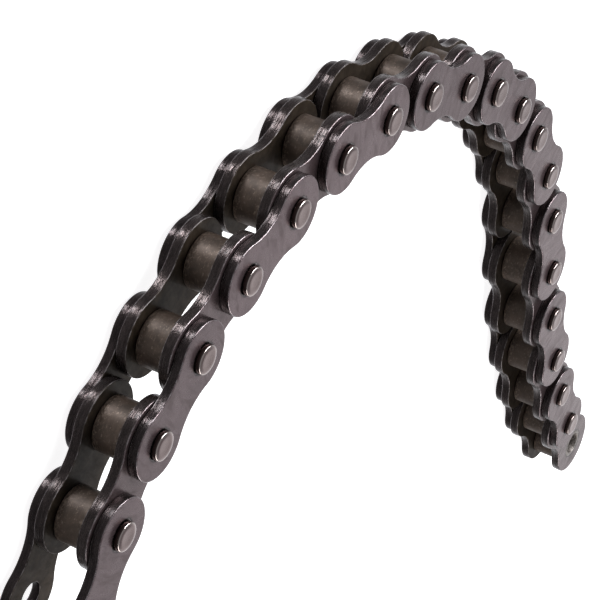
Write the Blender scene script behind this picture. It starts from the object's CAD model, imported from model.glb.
import math
import bmesh
import bpy
from mathutils import Matrix, Vector


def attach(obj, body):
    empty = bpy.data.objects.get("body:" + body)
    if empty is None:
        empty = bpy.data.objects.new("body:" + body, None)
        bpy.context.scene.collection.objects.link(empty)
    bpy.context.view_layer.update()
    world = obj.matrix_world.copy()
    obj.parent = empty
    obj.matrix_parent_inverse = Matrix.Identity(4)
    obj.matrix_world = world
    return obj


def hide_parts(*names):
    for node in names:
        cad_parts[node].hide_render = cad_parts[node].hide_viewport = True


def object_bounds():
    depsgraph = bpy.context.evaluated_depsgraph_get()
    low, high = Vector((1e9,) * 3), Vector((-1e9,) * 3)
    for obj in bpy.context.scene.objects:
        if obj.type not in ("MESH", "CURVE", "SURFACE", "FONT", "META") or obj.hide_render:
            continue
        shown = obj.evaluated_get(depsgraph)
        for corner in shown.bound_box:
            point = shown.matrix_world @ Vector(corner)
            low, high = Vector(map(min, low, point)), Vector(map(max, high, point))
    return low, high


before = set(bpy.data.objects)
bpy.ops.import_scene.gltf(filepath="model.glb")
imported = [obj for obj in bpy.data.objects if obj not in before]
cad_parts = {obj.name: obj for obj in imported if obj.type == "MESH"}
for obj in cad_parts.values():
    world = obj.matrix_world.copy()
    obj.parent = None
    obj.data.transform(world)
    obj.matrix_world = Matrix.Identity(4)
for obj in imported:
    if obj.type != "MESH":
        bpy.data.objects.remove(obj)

CAD_BOX = [list(map(float, c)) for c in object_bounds()]
MM = 0.001

# ---------------------------------------------------------------- the chain's sizes, in mm, as in the CAD
PITCH = 15.875
INNER_W = 6.35
ROLLER_D, PIN_D, BUSH_D = 10.16, 5.08, 7.04
T_IN, T_OUT = 2.0, 1.8
R_IN, R_OUT = 7.5, 6.7
WAIST_IN, WAIST_OUT = 5.6, 4.8
HEAD_D, PIN_OUT = 5.4, 1.1
PIN_PLAY, ROLLER_PLAY, PLATE_GAP, ROLLER_SIDE = 0.05, 0.08, 0.15, 0.1
Z_II = INNER_W / 2
Z_IO = Z_II + T_IN
Z_OI = Z_IO + PLATE_GAP
Z_OO = Z_OI + T_OUT
Z_END = Z_OO + PIN_OUT
HEADINGS = [(9.5 - k) * 360 / 37 for k in range(1, 16)] + [-50, -46, -41, -36, -31]
PINS = [(0.0, 0.0)]
for a in HEADINGS:
    x, y = PINS[-1]
    PINS.append((x + PITCH * math.cos(math.radians(a)), y + PITCH * math.sin(math.radians(a))))


def hash01(*k):
    """A fixed number from 0 to 1 for these whole numbers."""
    v = 0.5
    for i in k:
        v = (math.sin(v * 91.7 + i * 12.9898 + 4.1) * 43758.5453) % 1.0
    return v


# ---------------------------------------------------------------- camera, at the photograph's view
ROWS = ((0.4503, 0.2612, 0.8538), (0.0984, 0.9359, -0.3381), (-0.8874, 0.2362, 0.3958))
EYE = (-332.54, 152.50, 175.48)
right, up, back = (Vector(r) for r in ROWS)
back.normalize()
right = (right - back * right.dot(back)).normalized()
up = back.cross(right)
cam_data = bpy.data.cameras.new("photo_camera")
cam_data.sensor_width = 36.0
cam_data.lens = 2439.9 / 600 * 36.0
cam_data.clip_start = 0.02
cam_data.clip_end = 20
cam = bpy.data.objects.new("photo_camera", cam_data)
bpy.context.scene.collection.objects.link(cam)
rot = Matrix((right, up, back)).transposed().to_4x4()
cam.matrix_world = Matrix.Translation(Vector(EYE) * MM) @ rot
bpy.context.scene.camera = cam


# ---------------------------------------------------------------- mesh building
class Build:
    """Collects points and faces in mm and welds points that coincide."""

    def __init__(self):
        self.v, self.f, self.mat, self.loc, self.info = [], [], [], [], []
        self.key = {}

    def point(self, world, local, rim, tone, deep=0.0, ring=0.0):
        k = (round(world[0], 4), round(world[1], 4), round(world[2], 4), round(tone * 97))
        i = self.key.get(k)
        if i is None:
            i = self.key[k] = len(self.v)
            self.v.append(world)
            self.loc.append(local)
            self.info.append((rim, tone, deep, ring))
        elif rim > self.info[i][0]:
            self.info[i] = (rim, tone, deep, ring)
        return i

    def face(self, idx, m=0):
        out = []
        for i in idx:
            if not out or out[-1] != i:
                out.append(i)
        if len(out) > 1 and out[0] == out[-1]:
            out.pop()
        if len(set(out)) == len(out) and len(out) > 2:
            self.f.append(out)
            self.mat.append(m)

    def make(self, name, mats):
        me = bpy.data.meshes.new(name)
        me.from_pydata([(p[0] * MM, p[1] * MM, p[2] * MM) for p in self.v], [], self.f)
        bm = bmesh.new()
        bm.from_mesh(me)
        bmesh.ops.recalc_face_normals(bm, faces=bm.faces)
        bm.to_mesh(me)
        bm.free()
        for m in mats:
            me.materials.append(m)
        me.polygons.foreach_set("material_index", self.mat)
        me.polygons.foreach_set("use_smooth", [True] * len(self.f))
        a = me.attributes.new("loc", "FLOAT_VECTOR", "POINT")
        a.data.foreach_set("vector", [c for p in self.loc for c in p])
        for j, name_ in enumerate(("rim", "tone", "deep", "ring")):
            a = me.attributes.new(name_, "FLOAT", "POINT")
            a.data.foreach_set("value", [i[j] for i in self.info])
        me.update()
        o = bpy.data.objects.new(name, me)
        bpy.context.scene.collection.objects.link(o)
        return o


def waist_arc(r, w):
    return ((PITCH / 2) ** 2 + w * w - r * r) / (2 * (r - w))


N_END, N_WAIST, N_MID = 60, 12, 10


def half_outline(r, w, inset):
    """The half of a plate's outline round the hole at x = 0, from the top of the waist round to its bottom."""
    rc = waist_arc(r, w)
    cy = w + rc
    a0 = math.atan2(cy, PITCH / 2)
    out = []
    top = math.pi + a0  # the waist arc's angle where it meets the end
    for i in range(N_WAIST):
        a = 1.5 * math.pi + (top - 1.5 * math.pi) * i / N_WAIST
        out.append((PITCH / 2 + (rc + inset) * math.cos(a), cy + (rc + inset) * math.sin(a)))
    for i in range(N_END + 1):
        a = a0 + (2 * math.pi - 2 * a0) * i / N_END
        out.append(((r - inset) * math.cos(a), (r - inset) * math.sin(a)))
    for i in range(N_WAIST - 1, -1, -1):
        x, y = out[i]
        out.append((x, -y))
    return out


def plate(b, link, z_in, z_out, r, w, hole_r, seed, chamfer_in, chamfer_out, turn):
    """One stamped plate from its inner face z_in to its outer face z_out, in place on a link. The outer edge has the round that a punch draws, the inner edge a
    smaller one, and the rim keeps the faint step between the sheared band and the broken band."""
    s = 1 if z_out > z_in else -1
    t = abs(z_out - z_in)
    at = PINS[link - 1]
    h = math.radians(HEADINGS[link - 1])
    ca, sa = math.cos(h), math.sin(h)
    tone = hash01(link, seed)
    off = (37.0 * hash01(link, seed, 1), 41.0 * hash01(link, seed, 2), 29.0 * hash01(link, seed, 3))

    def put(x, y, z, rim):
        zz = z_in + s * z
        return b.point((at[0] + x * ca - y * sa, at[1] + x * sa + y * ca, zz), (x + off[0], y + off[1], z + off[2]), rim, tone, 1.0 - z / t, min(math.hypot(x, y), math.hypot(x - PITCH, y)))

    ro, ri = 0.25, 0.12
    step = 0.04
    prof = [(ri + 0.10, 0.0, 0.0), (ri, 0.0, 0.15)]
    for i in range(1, 4):
        a = math.pi / 2 * i / 4
        prof.append((ri - ri * math.sin(a) + step, ri - ri * math.cos(a), 0.6))
    prof += [(step, ri + 0.06, 1.0), (step, t * 0.34, 1.0), (step * 0.5, t * 0.34 + 0.05, 1.0), (0.0, t * 0.34 + 0.12, 1.0), (0.0, t - ro - 0.05, 1.0)]
    for i in range(0, 6):
        a = math.pi / 2 * i / 6
        prof.append((ro - ro * math.cos(a), t - ro + ro * math.sin(a), 1.0 - 0.16 * i))
    prof += [(ro, t, 0.1), (ro + 0.10, t, 0.0)]
    # the rim, both halves
    for mirror in (False, True):
        def mx(x):
            return PITCH - x if mirror else x

        rings = []
        for inset, z, rim in prof:
            rings.append([put(mx(x), y, z, rim) for x, y in half_outline(r, w, inset)])
        for j in range(len(rings) - 1):
            A, B = rings[j], rings[j + 1]
            for i in range(len(A) - 1):
                q = [A[i], A[i + 1], B[i + 1], B[i]]
                if mirror:
                    q.reverse()
                if s > 0:
                    q.reverse()
                b.face(q)
        # both faces, as rings between the outline and the hole
        faces = []
        for which, inset, z, ch in ((0, ri + 0.10, 0.0, chamfer_in), (1, ro + 0.10, t, chamfer_out)):
            outer = half_outline(r, w, inset)
            ym = outer[0][1]
            closed = outer + [(PITCH / 2, -ym + 2 * ym * i / N_MID) for i in range(1, N_MID)]
            n = len(closed)
            ang = [math.atan2(y, x) for x, y in closed]
            r0 = hole_r + ch
            loops = []
            for f in (0.0, 0.25, 0.5, 0.75, 0.94):
                loops.append([put(mx(x + ((r0 + 0.10) * math.cos(a) - x) * f), y + ((r0 + 0.10) * math.sin(a) - y) * f, z, 0.0) for (x, y), a in zip(closed, ang)])
            loops.append([put(mx((r0 + 0.10) * math.cos(a)), (r0 + 0.10) * math.sin(a), z, 0.0) for a in ang])
            loops.append([put(mx(r0 * math.cos(a)), r0 * math.sin(a), z, 0.3) for a in ang])
            for j in range(len(loops) - 1):
                A, B = loops[j], loops[j + 1]
                for i in range(n):
                    k = (i + 1) % n
                    q = [A[i], A[k], B[k], B[i]]
                    if mirror:
                        q.reverse()
                    if (s > 0) != (which == 1):
                        q.reverse()
                    b.face(q)
            faces.append((loops[-1], ang))
        # the hole's wall with its two chamfers
        ang = faces[0][1]
        n = len(ang)
        wall = [faces[0][0]]
        for rr, z, rim in ((hole_r + chamfer_in * 0.45, chamfer_in * 0.45, 0.6), (hole_r, chamfer_in, 1.0), (hole_r, t / 2, 1.0), (hole_r, t - chamfer_out, 1.0), (hole_r + chamfer_out * 0.45, t - chamfer_out * 0.45, 0.6)):
            wall.append([put(mx(rr * math.cos(a)), rr * math.sin(a), z, rim) for a in ang])
        ang2 = faces[1][1]
        # the two faces' loops have slightly different angles, so the last ring is made again at the first face's angles
        wall.append([put(mx((hole_r + chamfer_out) * math.cos(a)), (hole_r + chamfer_out) * math.sin(a), t, 0.3) for a in ang2])
        for j in range(len(wall) - 1):
            A, B = wall[j], wall[j + 1]
            for i in range(n):
                k = (i + 1) % n
                q = [A[i], A[k], B[k], B[i]]
                if mirror:
                    q.reverse()
                if s < 0:
                    q.reverse()
                b.face(q)


def turned(b, at, prof, seed, segs=96, closed=False, spin=0.0):
    """A turned piece: prof is (radius, z, rim), outside from bottom to top, anticlockwise in (r, z)."""
    tone = hash01(seed, 7)
    off = (37.0 * hash01(seed, 1), 41.0 * hash01(seed, 2), 29.0 * hash01(seed, 3))
    rings = []
    zmax = max(abs(p[1]) for p in prof)
    for r, z, rim in prof:
        ring = []
        for i in range(segs):
            a = 2 * math.pi * i / segs + spin
            x, y = r * math.cos(a), r * math.sin(a)
            ring.append(b.point((at[0] + x, at[1] + y, z), (x, y, z + off[2]), rim, tone, abs(z) / zmax, r))
        rings.append(ring)
    n = len(rings)
    for j in range(n if closed else n - 1):
        A, B = rings[j], rings[(j + 1) % n]
        for i in range(segs):
            k = (i + 1) % segs
            b.face([A[i], A[k], B[k], B[i]])


def arc(cr, cz, rad, a0, a1, n, rim):
    return [(cr + rad * math.cos(math.radians(a0 + (a1 - a0) * i / n)), cz + rad * math.sin(math.radians(a0 + (a1 - a0) * i / n)), rim) for i in range(n + 1)]


def pin_profile():
    """Half of a pin, then mirrored: the bearing length, the swelled and riveted end, its bevel and the shallow dish in its end face."""
    r, h = PIN_D / 2, HEAD_D / 2
    up_ = [(r, 0.0, 1.0), (r, Z_OI + 0.3, 1.0), (r, Z_OO - 0.34, 1.0), (r + 0.02, Z_OO - 0.05, 1.0), (r + 0.06, Z_OO + 0.08, 1.0), (h - 0.03, Z_OO + 0.18, 1.0), (h, Z_OO + 0.27, 1.0), (h, Z_END - 0.36, 1.0)]
    # the riveted crown: a small round corner, a land that falls away slightly, and a flat end with a faint dish
    drop = 0.10
    for i in range(1, 9):
        a = math.radians(10 + 70.0 * i / 8)
        up_.append((h - 0.30 * (1 - math.cos(a)), Z_END - drop - 0.30 + 0.30 * math.sin(a), (0.95, 0.85, 0.70, 0.55, 0.45, 0.36, 0.28, 0.2)[i - 1]))
    up_ += [(h - 0.34, Z_END - 0.080, 0.15), (h - 0.48, Z_END - 0.050, 0.12), (h - 0.62, Z_END - 0.024, 0.08), (h - 0.77, Z_END - 0.006, 0.04), (h - 0.88, Z_END, 0.0), (1.5, Z_END - 0.002, 0.0), (1.2, Z_END - 0.012, 0.0), (0.8, Z_END - 0.022, 0.0),
            (0.3, Z_END - 0.028, 0.0), (0.0, Z_END - 0.028, 0.0)]
    down = [(a, -z, c) for a, z, c in reversed(up_[1:])]
    return down + up_


def roller_profile():
    ro, ri, z = ROLLER_D / 2, BUSH_D / 2 + ROLLER_PLAY, INNER_W / 2 - ROLLER_SIDE
    e, c = 0.38, 0.18
    out = [(ri + c, -z, 0.2), (ri + c + 0.08, -z, 0.0), (ro - e - 0.08, -z, 0.0)] + arc(ro - e, -z + e, e, -90, 0, 5, 0.8)
    out += [(ro, -z + e + 0.1, 1.0), (ro, 0.0, 1.0), (ro, z - e - 0.1, 1.0)] + arc(ro - e, z - e, e, 0, 90, 5, 0.8)
    out += [(ro - e - 0.08, z, 0.0), (ri + c + 0.08, z, 0.0), (ri + c, z, 0.2), (ri, z - c, 1.0), (ri, 0.0, 1.0), (ri, -z + c, 1.0)]
    return out


def bush_profile():
    ro, ri, z = BUSH_D / 2, PIN_D / 2 + PIN_PLAY, Z_IO
    c = 0.14
    return [(ri + c, -z, 0.2), (ri + c + 0.05, -z, 0.0), (ro - 0.12, -z, 0.0), (ro - 0.03, -z + 0.03, 0.6), (ro, -z + 0.12, 1.0), (ro, 0.0, 1.0), (ro, z - 0.12, 1.0), (ro - 0.03, z - 0.03, 0.6),
            (ro - 0.12, z, 0.0), (ri + c + 0.05, z, 0.0), (ri + c, z, 0.2), (ri, z - c, 1.0), (ri, 0.0, 1.0), (ri, -z + c, 1.0)]


# ---------------------------------------------------------------- materials
class Nodes:
    def __init__(self, name):
        self.m = bpy.data.materials.new(name)
        self.m.use_nodes = True
        self.t = self.m.node_tree
        self.bsdf = self.t.nodes["Principled BSDF"]

    def new(self, kind, **kw):
        n = self.t.nodes.new(kind)
        for k, v in kw.items():
            setattr(n, k, v)
        return n

    def link(self, a, b):
        self.t.links.new(a, b)

    def attr(self, name):
        n = self.new("ShaderNodeAttribute", attribute_name=name)
        return n.outputs["Vector" if name == "loc" else "Fac"]

    def scaled(self, vec, s):
        n = self.new("ShaderNodeVectorMath", operation="MULTIPLY")
        self.link(vec, n.inputs[0])
        n.inputs[1].default_value = s
        return n.outputs[0]

    def noise(self, vec, scale, detail=3.0, rough=0.55, distort=0.0):
        n = self.new("ShaderNodeTexNoise")
        self.link(vec, n.inputs["Vector"])
        n.inputs["Scale"].default_value = scale
        n.inputs["Detail"].default_value = detail
        n.inputs["Roughness"].default_value = rough
        n.inputs["Distortion"].default_value = distort
        return n.outputs["Fac"]

    def ramp(self, fac, stops, interp="LINEAR"):
        n = self.new("ShaderNodeValToRGB")
        n.color_ramp.interpolation = interp
        els = n.color_ramp.elements
        while len(els) > 1:
            els.remove(els[-1])
        els[0].position = stops[0][0]
        els[0].color = self.rgba(stops[0][1])
        for p, c in stops[1:]:
            e = els.new(p)
            e.color = self.rgba(c)
        self.link(fac, n.inputs["Fac"])
        return n.outputs["Color"]

    @staticmethod
    def rgba(c):
        return (c, c, c, 1) if isinstance(c, (int, float)) else (*c, 1)

    def map(self, v, a, b, c, d, clamp=True):
        n = self.new("ShaderNodeMapRange", clamp=clamp)
        self.link(v, n.inputs["Value"])
        for k, x in zip(("From Min", "From Max", "To Min", "To Max"), (a, b, c, d)):
            n.inputs[k].default_value = x
        return n.outputs["Result"]

    def math(self, op, a, b=None, clamp=False):
        n = self.new("ShaderNodeMath", operation=op, use_clamp=clamp)
        for i, v in enumerate((a, b)):
            if v is None:
                continue
            if isinstance(v, (int, float)):
                n.inputs[i].default_value = v
            else:
                self.link(v, n.inputs[i])
        return n.outputs[0]

    def mix(self, fac, a, b, blend="MIX"):
        n = self.new("ShaderNodeMix", data_type="RGBA", blend_type=blend)
        for sock, v in ((n.inputs[0], fac), (n.inputs[6], a), (n.inputs[7], b)):
            if isinstance(v, (int, float)):
                sock.default_value = v if sock is n.inputs[0] else (v, v, v, 1)
            elif isinstance(v, tuple):
                sock.default_value = (*v, 1)
            else:
                self.link(v, sock)
        return n.outputs[2]

    def bump(self, height, strength, distance, normal=None):
        n = self.new("ShaderNodeBump")
        if isinstance(strength, (int, float)):
            n.inputs["Strength"].default_value = strength
        else:
            self.link(strength, n.inputs["Strength"])
        n.inputs["Distance"].default_value = distance
        self.link(height, n.inputs["Height"])
        if normal is not None:
            self.link(normal, n.inputs["Normal"])
        return n.outputs["Normal"]


def plate_material(name, face, face2, rim_col, rough_face, rough_rim, dirt_r):
    """Stamped and tumbled plate steel: satin faces with smudges, fine scratches and specks, and darker oiled rims with the upright marks of the punch."""
    k = Nodes(name)
    loc, rim, tone, deep, ring = (k.attr(n) for n in ("loc", "rim", "tone", "deep", "ring"))
    cloud = k.noise(loc, 0.16, 4, 0.6, 0.4)
    smudge = k.noise(k.scaled(loc, (1.0, 0.35, 1.0)), 0.55, 5, 0.62, 0.8)
    grain = k.noise(loc, 9.0, 2, 0.6)
    face_col = k.mix(k.map(cloud, 0.35, 0.68, 0, 1), face, face2)
    face_col = k.mix(k.map(smudge, 0.50, 0.68, 0, 0.65), face_col, tuple(c * q for c, q in zip(face, (0.60, 0.54, 0.50))))
    dust = k.noise(k.scaled(loc, (0.7, 1.3, 1.0)), 1.7, 5, 0.72, 1.2)
    face_col = k.mix(k.map(dust, 0.54, 0.68, 0, 0.40), face_col, tuple(c * 1.5 for c in face))
    # specks of dust and tiny pits
    vor = k.new("ShaderNodeTexVoronoi")
    k.link(loc, vor.inputs["Vector"])
    vor.inputs["Scale"].default_value = 0.9
    speck = k.map(vor.outputs["Distance"], 0.05, 0.075, 1, 0)
    speck = k.math("MULTIPLY", speck, k.map(k.noise(loc, 0.7, 2), 0.55, 0.6, 0, 1))
    face_col = k.mix(k.math("MULTIPLY", speck, 0.35), face_col, tuple(c * 1.7 for c in face))
    # the fine scratches that tumbling leaves, in two directions
    scr = k.noise(k.scaled(loc, (0.35, 7.0, 1.0)), 1.6, 3, 0.7, 0.3)
    scr2 = k.noise(k.scaled(loc, (6.0, 0.5, 1.0)), 1.1, 3, 0.7, 0.6)
    lines = k.math("MAXIMUM", k.map(scr, 0.66, 0.72, 0, 1), k.map(scr2, 0.68, 0.74, 0, 1))
    face_col = k.mix(k.math("MULTIPLY", lines, 0.22), face_col, tuple(c * 1.9 for c in face))
    # thin curled marks of dried grime, in places
    curl = k.math("ABSOLUTE", k.math("SUBTRACT", k.noise(loc, 0.75, 3, 0.5, 1.6), 0.5))
    curl = k.math("MULTIPLY", k.map(curl, 0.004, 0.022, 1, 0), k.map(k.noise(loc, 0.30, 2, 0.5), 0.48, 0.60, 0, 1))
    face_col = k.mix(k.math("MULTIPLY", curl, 0.5), face_col, tuple(c * 0.45 for c in face))
    # a dark ring of oil and dirt round the pin, and the oily inner face
    dirt = k.map(k.math("ADD", ring, k.map(k.noise(loc, 1.3, 3), 0.3, 0.7, -0.12, 0.12)), dirt_r, dirt_r + 0.28, 1, 0)
    face_col = k.mix(k.math("MULTIPLY", dirt, 0.85), face_col, tuple(c * 0.16 for c in face))
    inside = k.map(deep, 0.5, 0.6, 0, 1)
    grease = k.mix(k.map(k.noise(loc, 0.5, 4, 0.6, 0.4), 0.35, 0.7, 0, 1), (0.030, 0.021, 0.014), (0.064, 0.047, 0.033))
    face_col = k.mix(inside, face_col, grease)
    # rim: dark and oiled, with drawn lines along it and patches
    drawn = k.noise(k.scaled(loc, (0.16, 0.16, 2.2)), 1.6, 3, 0.6, 0.2)
    patch = k.noise(k.scaled(loc, (0.55, 0.55, 2.0)), 0.95, 4, 0.62, 0.35)
    oil = k.noise(loc, 0.45, 3, 0.5)
    rim_mix = k.mix(k.map(drawn, 0.42, 0.60, 0, 0.7), rim_col, tuple(c * 1.9 for c in rim_col))
    rim_mix = k.mix(k.map(patch, 0.54, 0.62, 0, 0.75), rim_mix, tuple(c * 2.1 for c in rim_col))
    rim_mix = k.mix(k.map(oil, 0.5, 0.7, 0, 0.5), rim_mix, tuple(c * 0.5 for c in rim_col))
    col = k.mix(k.map(rim, 0.7, 0.97, 0, 1), face_col, rim_mix)
    # bright worn line where the face turns into the rim
    edge = k.math("MULTIPLY", k.map(rim, 0.15, 0.35, 0, 1), k.map(rim, 0.8, 0.95, 1, 0))
    worn = k.math("MULTIPLY", edge, k.map(k.noise(loc, 0.9, 3), 0.4, 0.62, 0.1, 0.65))
    col = k.mix(worn, col, (0.36, 0.33, 0.34))
    col = k.mix(k.map(tone, 0, 1, 0.0, 0.18), col, (0.02, 0.02, 0.02))
    k.link(col, k.bsdf.inputs["Base Color"])
    k.bsdf.inputs["Metallic"].default_value = 0.8
    r_face = k.math("ADD", k.map(smudge, 0.35, 0.7, rough_face - 0.06, rough_face + 0.10), k.map(grain, 0.3, 0.7, -0.03, 0.03))
    r_rim = k.math("ADD", k.map(patch, 0.38, 0.62, rough_rim + 0.10, rough_rim - 0.06), k.map(drawn, 0.40, 0.60, 0.07, -0.05))
    r_face = k.math("ADD", r_face, k.math("MULTIPLY", inside, 0.34))
    r_all = k.math("ADD", k.math("MULTIPLY", r_face, k.map(rim, 0.7, 0.97, 1, 0)), k.math("MULTIPLY", r_rim, k.map(rim, 0.7, 0.97, 0, 1)))
    k.link(k.math("SUBTRACT", r_all, k.math("MULTIPLY", edge, 0.06)), k.bsdf.inputs["Roughness"])
    h_face = k.math("ADD", k.math("MULTIPLY", grain, 0.25), k.math("MULTIPLY", lines, -0.8))
    n1 = k.bump(h_face, k.map(rim, 0.1, 0.5, 0.35, 0), 0.00004)
    h_rim = k.math("ADD", k.math("MULTIPLY", drawn, 1.6), k.math("ADD", k.math("MULTIPLY", patch, 1.0), k.math("MULTIPLY", k.noise(loc, 2.2, 3), 0.4)))
    n2 = k.bump(h_rim, k.map(rim, 0.5, 1.0, 0.1, 0.6), 0.00010, n1)
    k.link(n2, k.bsdf.inputs["Normal"])
    k.bsdf.inputs["Specular IOR Level"].default_value = 0.2
    k.bsdf.inputs["Coat Weight"].default_value = 0.10
    k.bsdf.inputs["Coat Roughness"].default_value = 0.12
    return k.m


def turned_material(name, base, worn, dark, rough, ring, coat, scuff, metallic):
    """Turned steel with fine marks round it along its length, darker patches of old oil and pale scuffs where it runs."""
    k = Nodes(name)
    loc, rim, tone, deep = (k.attr(n) for n in ("loc", "rim", "tone", "deep"))
    marks = k.noise(k.scaled(loc, (0.10, 0.10, 6.0)), ring, 4, 0.65)
    stain = k.noise(loc, 0.33, 4, 0.6, 0.5)
    rub = k.noise(k.scaled(loc, (0.5, 0.5, 1.6)), 0.9, 5, 0.7, 0.4)
    col = k.mix(k.map(marks, 0.35, 0.7, 0, 1), base, tuple(c * 1.35 for c in base))
    col = k.mix(k.map(stain, 0.45, 0.72, 0, 0.8), col, dark)
    col = k.mix(k.map(rub, 0.58, 0.72, 0, scuff), col, worn)
    # pale scuffs all over, thicker towards the ends
    flecks = k.noise(k.scaled(loc, (0.8, 0.8, 1.5)), 1.9, 4, 0.7, 0.6)
    flecks = k.math("ADD", flecks, k.map(deep, 0.45, 0.95, 0.0, 0.13))
    col = k.mix(k.map(flecks, 0.57, 0.68, 0, min(1.0, scuff * 1.6)), col, tuple(min(1.0, c * 1.5) for c in worn))
    edge = k.math("MULTIPLY", k.map(rim, 0.05, 0.5, 0, 1), k.map(rim, 0.6, 0.95, 1, 0))
    col = k.mix(k.math("MULTIPLY", edge, 0.55), col, worn)
    col = k.mix(k.map(tone, 0, 1, 0.0, 0.2), col, dark)
    k.link(col, k.bsdf.inputs["Base Color"])
    k.bsdf.inputs["Metallic"].default_value = metallic
    k.link(k.math("ADD", k.map(stain, 0.4, 0.7, rough, rough + 0.08), k.map(marks, 0.3, 0.7, -0.04, 0.05)), k.bsdf.inputs["Roughness"])
    n1 = k.bump(marks, 0.4, 0.00003)
    n2 = k.bump(rub, 0.5, 0.00008, n1)
    k.link(n2, k.bsdf.inputs["Normal"])
    k.bsdf.inputs["Coat Weight"].default_value = coat
    k.bsdf.inputs["Coat Roughness"].default_value = 0.15
    return k.m


MAT_OUTER = plate_material("outer_plate_steel", (0.136, 0.097, 0.104), (0.160, 0.116, 0.123), (0.038, 0.030, 0.030), 0.30, 0.20, 2.98)
MAT_INNER = plate_material("inner_plate_steel", (0.118, 0.085, 0.089), (0.139, 0.101, 0.105), (0.044, 0.035, 0.034), 0.30, 0.20, 3.70)
MAT_ROLLER = turned_material("roller_steel", (0.070, 0.049, 0.037), (0.19, 0.145, 0.115), (0.040, 0.029, 0.022), 0.46, 1.2, 0.0, 0.35, 0.45)
MAT_BUSH = turned_material("bush_steel", (0.12, 0.105, 0.095), (0.24, 0.215, 0.20), (0.05, 0.045, 0.04), 0.36, 1.4, 0.1, 0.5, 0.8)


def pin_material():
    """Riveted pin steel: a pinkish bronze end face with faint rings and press marks, and a dark oiled side."""
    k = Nodes("pin_steel")
    loc, rim, tone = k.attr("loc"), k.attr("rim"), k.attr("tone")
    sep = k.new("ShaderNodeSeparateXYZ")
    k.link(loc, sep.inputs[0])
    rr = k.math("SQRT", k.math("ADD", k.math("MULTIPLY", sep.outputs[0], sep.outputs[0]), k.math("MULTIPLY", sep.outputs[1], sep.outputs[1])))
    comb = k.new("ShaderNodeCombineXYZ")
    k.link(rr, comb.inputs[0])
    k.link(tone, comb.inputs[1])
    rings = k.noise(comb.outputs[0], 7.0, 3, 0.6)
    cloud = k.noise(loc, 0.5, 4, 0.6, 0.5)
    fine = k.noise(loc, 6.0, 3, 0.6)
    col = k.mix(k.map(cloud, 0.35, 0.68, 0, 1), (0.200, 0.148, 0.144), (0.240, 0.182, 0.176))
    col = k.mix(k.map(rings, 0.5, 0.75, 0, 0.3), col, (0.165, 0.125, 0.120))
    stain = k.noise(k.scaled(loc, (1.0, 0.6, 1.0)), 0.85, 4, 0.65, 0.7)
    col = k.mix(k.map(stain, 0.58, 0.75, 0, 0.5), col, (0.15, 0.115, 0.11))
    side = k.mix(k.map(k.noise(k.scaled(loc, (0.2, 0.2, 4)), 1.5, 3), 0.4, 0.7, 0, 1), (0.120, 0.088, 0.080), (0.18, 0.140, 0.125))
    lip = k.math("MULTIPLY", k.map(rim, 0.10, 0.26, 0, 1), k.map(rim, 0.60, 0.75, 1, 0))
    col = k.mix(k.math("MULTIPLY", lip, 0.85), col, (0.50, 0.44, 0.42))
    col = k.mix(k.map(rim, 0.55, 0.80, 0, 1), col, side)
    k.link(col, k.bsdf.inputs["Base Color"])
    k.bsdf.inputs["Metallic"].default_value = 1.0
    k.link(k.math("ADD", k.map(cloud, 0.3, 0.7, 0.15, 0.22), k.map(fine, 0.3, 0.7, -0.03, 0.03)), k.bsdf.inputs["Roughness"])
    n1 = k.bump(rings, 0.3, 0.00003)
    n2 = k.bump(fine, 0.25, 0.00002, n1)
    k.link(n2, k.bsdf.inputs["Normal"])
    k.bsdf.inputs["Coat Weight"].default_value = 0.15
    k.bsdf.inputs["Coat Roughness"].default_value = 0.15
    return k.m


MAT_PIN = pin_material()


# ---------------------------------------------------------------- pieces
def two(n):
    return "%02d" % n


def done(o, body, node):
    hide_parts(node)
    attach(o, body)


for n in range(1, 11):
    link = 2 * n - 1
    b = Build()
    plate(b, link, Z_OI, Z_OO, R_OUT, WAIST_OUT, PIN_D / 2, 11, 0.10, 0.36, 0)
    plate(b, link, -Z_OI, -Z_OO, R_OUT, WAIST_OUT, PIN_D / 2, 12, 0.10, 0.36, 0)
    done(b.make("outer_plates_" + two(n), [MAT_OUTER]), "outer_link_" + two(n), "outer_link_%s_plates" % two(n))
    b = Build()
    for k in ((link,) if n == 1 else (link - 1, link)):
        turned(b, PINS[k], pin_profile(), 100 + k, 72, spin=0.3 * k)
    done(b.make("rivet_pins_" + two(n), [MAT_PIN]), "outer_link_" + two(n), "outer_link_%s_pin%s" % (two(n), "" if n == 1 else "s"))
    link = 2 * n
    b = Build()
    plate(b, link, Z_II, Z_IO, R_IN, WAIST_IN, BUSH_D / 2, 21, 0.10, 0.12, 0)
    plate(b, link, -Z_II, -Z_IO, R_IN, WAIST_IN, BUSH_D / 2, 22, 0.10, 0.12, 0)
    done(b.make("inner_plates_" + two(n), [MAT_INNER]), "inner_link_" + two(n), "inner_link_%s_plates" % two(n))
    b = Build()
    for k in (link - 1, link):
        turned(b, PINS[k], bush_profile(), 200 + k, 72, closed=True, spin=0.2 * k)
    done(b.make("bushes_" + two(n), [MAT_BUSH]), "inner_link_" + two(n), "inner_link_%s_bushes" % two(n))
for k in range(1, 21):
    b = Build()
    turned(b, PINS[k], roller_profile(), 300 + k, 112, closed=True, spin=0.13 * k)
    done(b.make("chain_roller_" + two(k), [MAT_ROLLER]), "roller_" + two(k), "roller_" + two(k))


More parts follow.
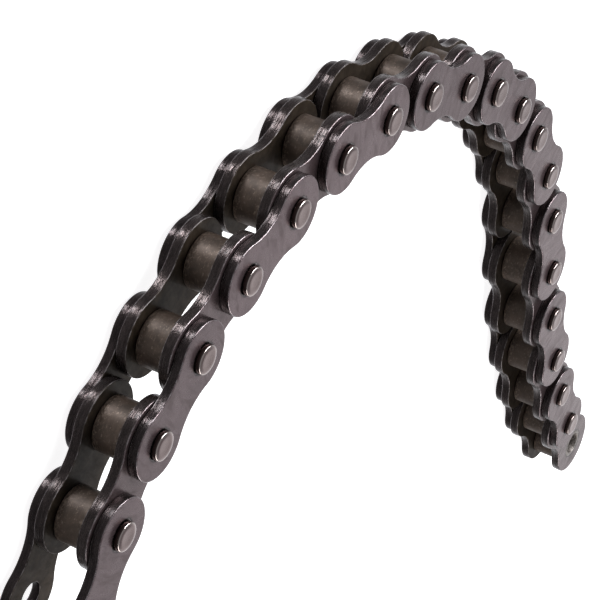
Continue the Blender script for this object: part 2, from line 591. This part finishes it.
# ---------------------------------------------------------------- floor and light
def stage_floor():
    z = CAD_BOX[0][2]
    s = 6.0
    me = bpy.data.meshes.new("studio_floor")
    me.from_pydata([(-s, -s, z), (s, -s, z), (s, s, z), (-s, s, z)], [], [(0, 1, 2, 3)])
    o = bpy.data.objects.new("studio_floor", me)
    bpy.context.scene.collection.objects.link(o)
    k = Nodes("studio_floor")
    tc = k.new("ShaderNodeTexCoord")
    n = k.noise(tc.outputs["Object"], 3.0, 3, 0.5)
    k.link(k.mix(n, (0.55, 0.55, 0.56), (0.58, 0.58, 0.58)), k.bsdf.inputs["Base Color"])
    k.bsdf.inputs["Roughness"].default_value = 0.9
    k.bsdf.inputs["Specular IOR Level"].default_value = 0.1
    k.bsdf.inputs["Emission Color"].default_value = (1, 1, 1, 1)
    k.bsdf.inputs["Emission Strength"].default_value = 0.88
    me.materials.append(k.m)
    # the polished metal mirrors the dark room and the lamps below the floor's edge, not the floor right beside it
    o.visible_glossy = False
    o.visible_shadow = False


def area(name, direction, dist, size, power, color=(1, 1, 1), target=(0.10, 0.05, 0.0), along=None):
    d = Vector(direction).normalized()
    li = bpy.data.lights.new(name, "AREA")
    li.shape = "RECTANGLE"
    li.size, li.size_y = size
    li.energy = power
    li.color = color
    o = bpy.data.objects.new(name, li)
    t = Vector(target)
    o.location = t + d * dist
    if along is None:
        o.rotation_euler = d.to_track_quat("Z", "Y").to_euler()
    else:
        x = Vector(along)
        x = (x - d * x.dot(d)).normalized()
        o.rotation_euler = Matrix((x, d.cross(x), d)).transposed().to_euler()
    bpy.context.scene.collection.objects.link(o)
    return o


stage_floor()
# over and behind the camera's side of the chain: the soft patches on the rims and rollers
area("upper_softbox", (-0.50, 0.75, -0.42), 0.60, (0.15, 0.16), 1.75, (0.96, 0.97, 1.0))
# above the faces: the thin lines on the plates' upper edges and the crescents on the pin ends
area("edge_softbox", (0.26, 0.61, 0.73), 0.70, (0.54, 0.26), 6.0, (0.97, 0.98, 1.0), along=(-0.62, -0.08, 0.30))
# below: the paler lower rims of the pin ends
area("lower_fill", (0.22, -0.80, 0.50), 0.80, (0.62, 0.26), 2.2, (1.0, 0.97, 0.95), along=(0.74, -0.19, -0.58))
# large and even, for the flat faces
area("face_softbox", (0.864, -0.385, 0.326), 1.2, (0.72, 0.56), 0.47, (1.0, 0.985, 0.97), along=(0.407, 0.914, 0.0))
# the floor's own light from straight above
top = area("top_softbox", (-0.1, 0.15, 1.0), 1.6, (2.0, 2.0), 14.0)
top.visible_glossy = False

world = bpy.data.worlds.new("studio")
bpy.context.scene.world = world
world.use_nodes = True
wt = world.node_tree
bg = wt.nodes["Background"]
tc = wt.nodes.new("ShaderNodeTexCoord")
dot = wt.nodes.new("ShaderNodeVectorMath")
dot.operation = "DOT_PRODUCT"
wt.links.new(tc.outputs["Generated"], dot.inputs[0])
dot.inputs[1].default_value = Vector((0.887, -0.236, -0.396)).normalized()
ramp = wt.nodes.new("ShaderNodeValToRGB")
els = ramp.color_ramp.elements
els[0].position, els[0].color = 0.0, (0.13, 0.13, 0.135, 1)
els[1].position, els[1].color = 1.0, (0.95, 0.95, 1.0, 1)
for p, c in ((0.45, 0.14), (0.60, 0.18), (0.80, 0.42), (0.93, 0.90)):
    e = els.new(p)
    e.color = (c, c, c * 1.03, 1)
mr = wt.nodes.new("ShaderNodeMapRange")
wt.links.new(dot.outputs["Value"], mr.inputs["Value"])
for k_, x in zip(("From Min", "From Max", "To Min", "To Max"), (-1, 1, 0, 1)):
    mr.inputs[k_].default_value = x
wt.links.new(mr.outputs["Result"], ramp.inputs["Fac"])
# a soft glow overhead, so that the faces aren't black from above
sep = wt.nodes.new("ShaderNodeSeparateXYZ")
wt.links.new(tc.outputs["Generated"], sep.inputs[0])
glow = wt.nodes.new("ShaderNodeMapRange")
wt.links.new(sep.outputs[2], glow.inputs["Value"])
for k_, x in zip(("From Min", "From Max", "To Min", "To Max"), (0.45, 1.0, 0.0, 0.22)):
    glow.inputs[k_].default_value = x
plus = wt.nodes.new("ShaderNodeMix")
plus.data_type, plus.blend_type = "RGBA", "ADD"
plus.inputs[0].default_value = 1.0
wt.links.new(ramp.outputs["Color"], plus.inputs[6])
wt.links.new(glow.outputs["Result"], plus.inputs[7])
# the room itself looks pale, whatever it gives off
path = wt.nodes.new("ShaderNodeLightPath")
pale = wt.nodes.new("ShaderNodeMix")
pale.data_type = "RGBA"
wt.links.new(path.outputs["Is Camera Ray"], pale.inputs[0])
wt.links.new(plus.outputs[2], pale.inputs[6])
pale.inputs[7].default_value = (0.88, 0.88, 0.89, 1)
wt.links.new(pale.outputs[2], bg.inputs["Color"])
bg.inputs["Strength"].default_value = 1.0

bpy.context.scene.view_settings.view_transform = "Standard"
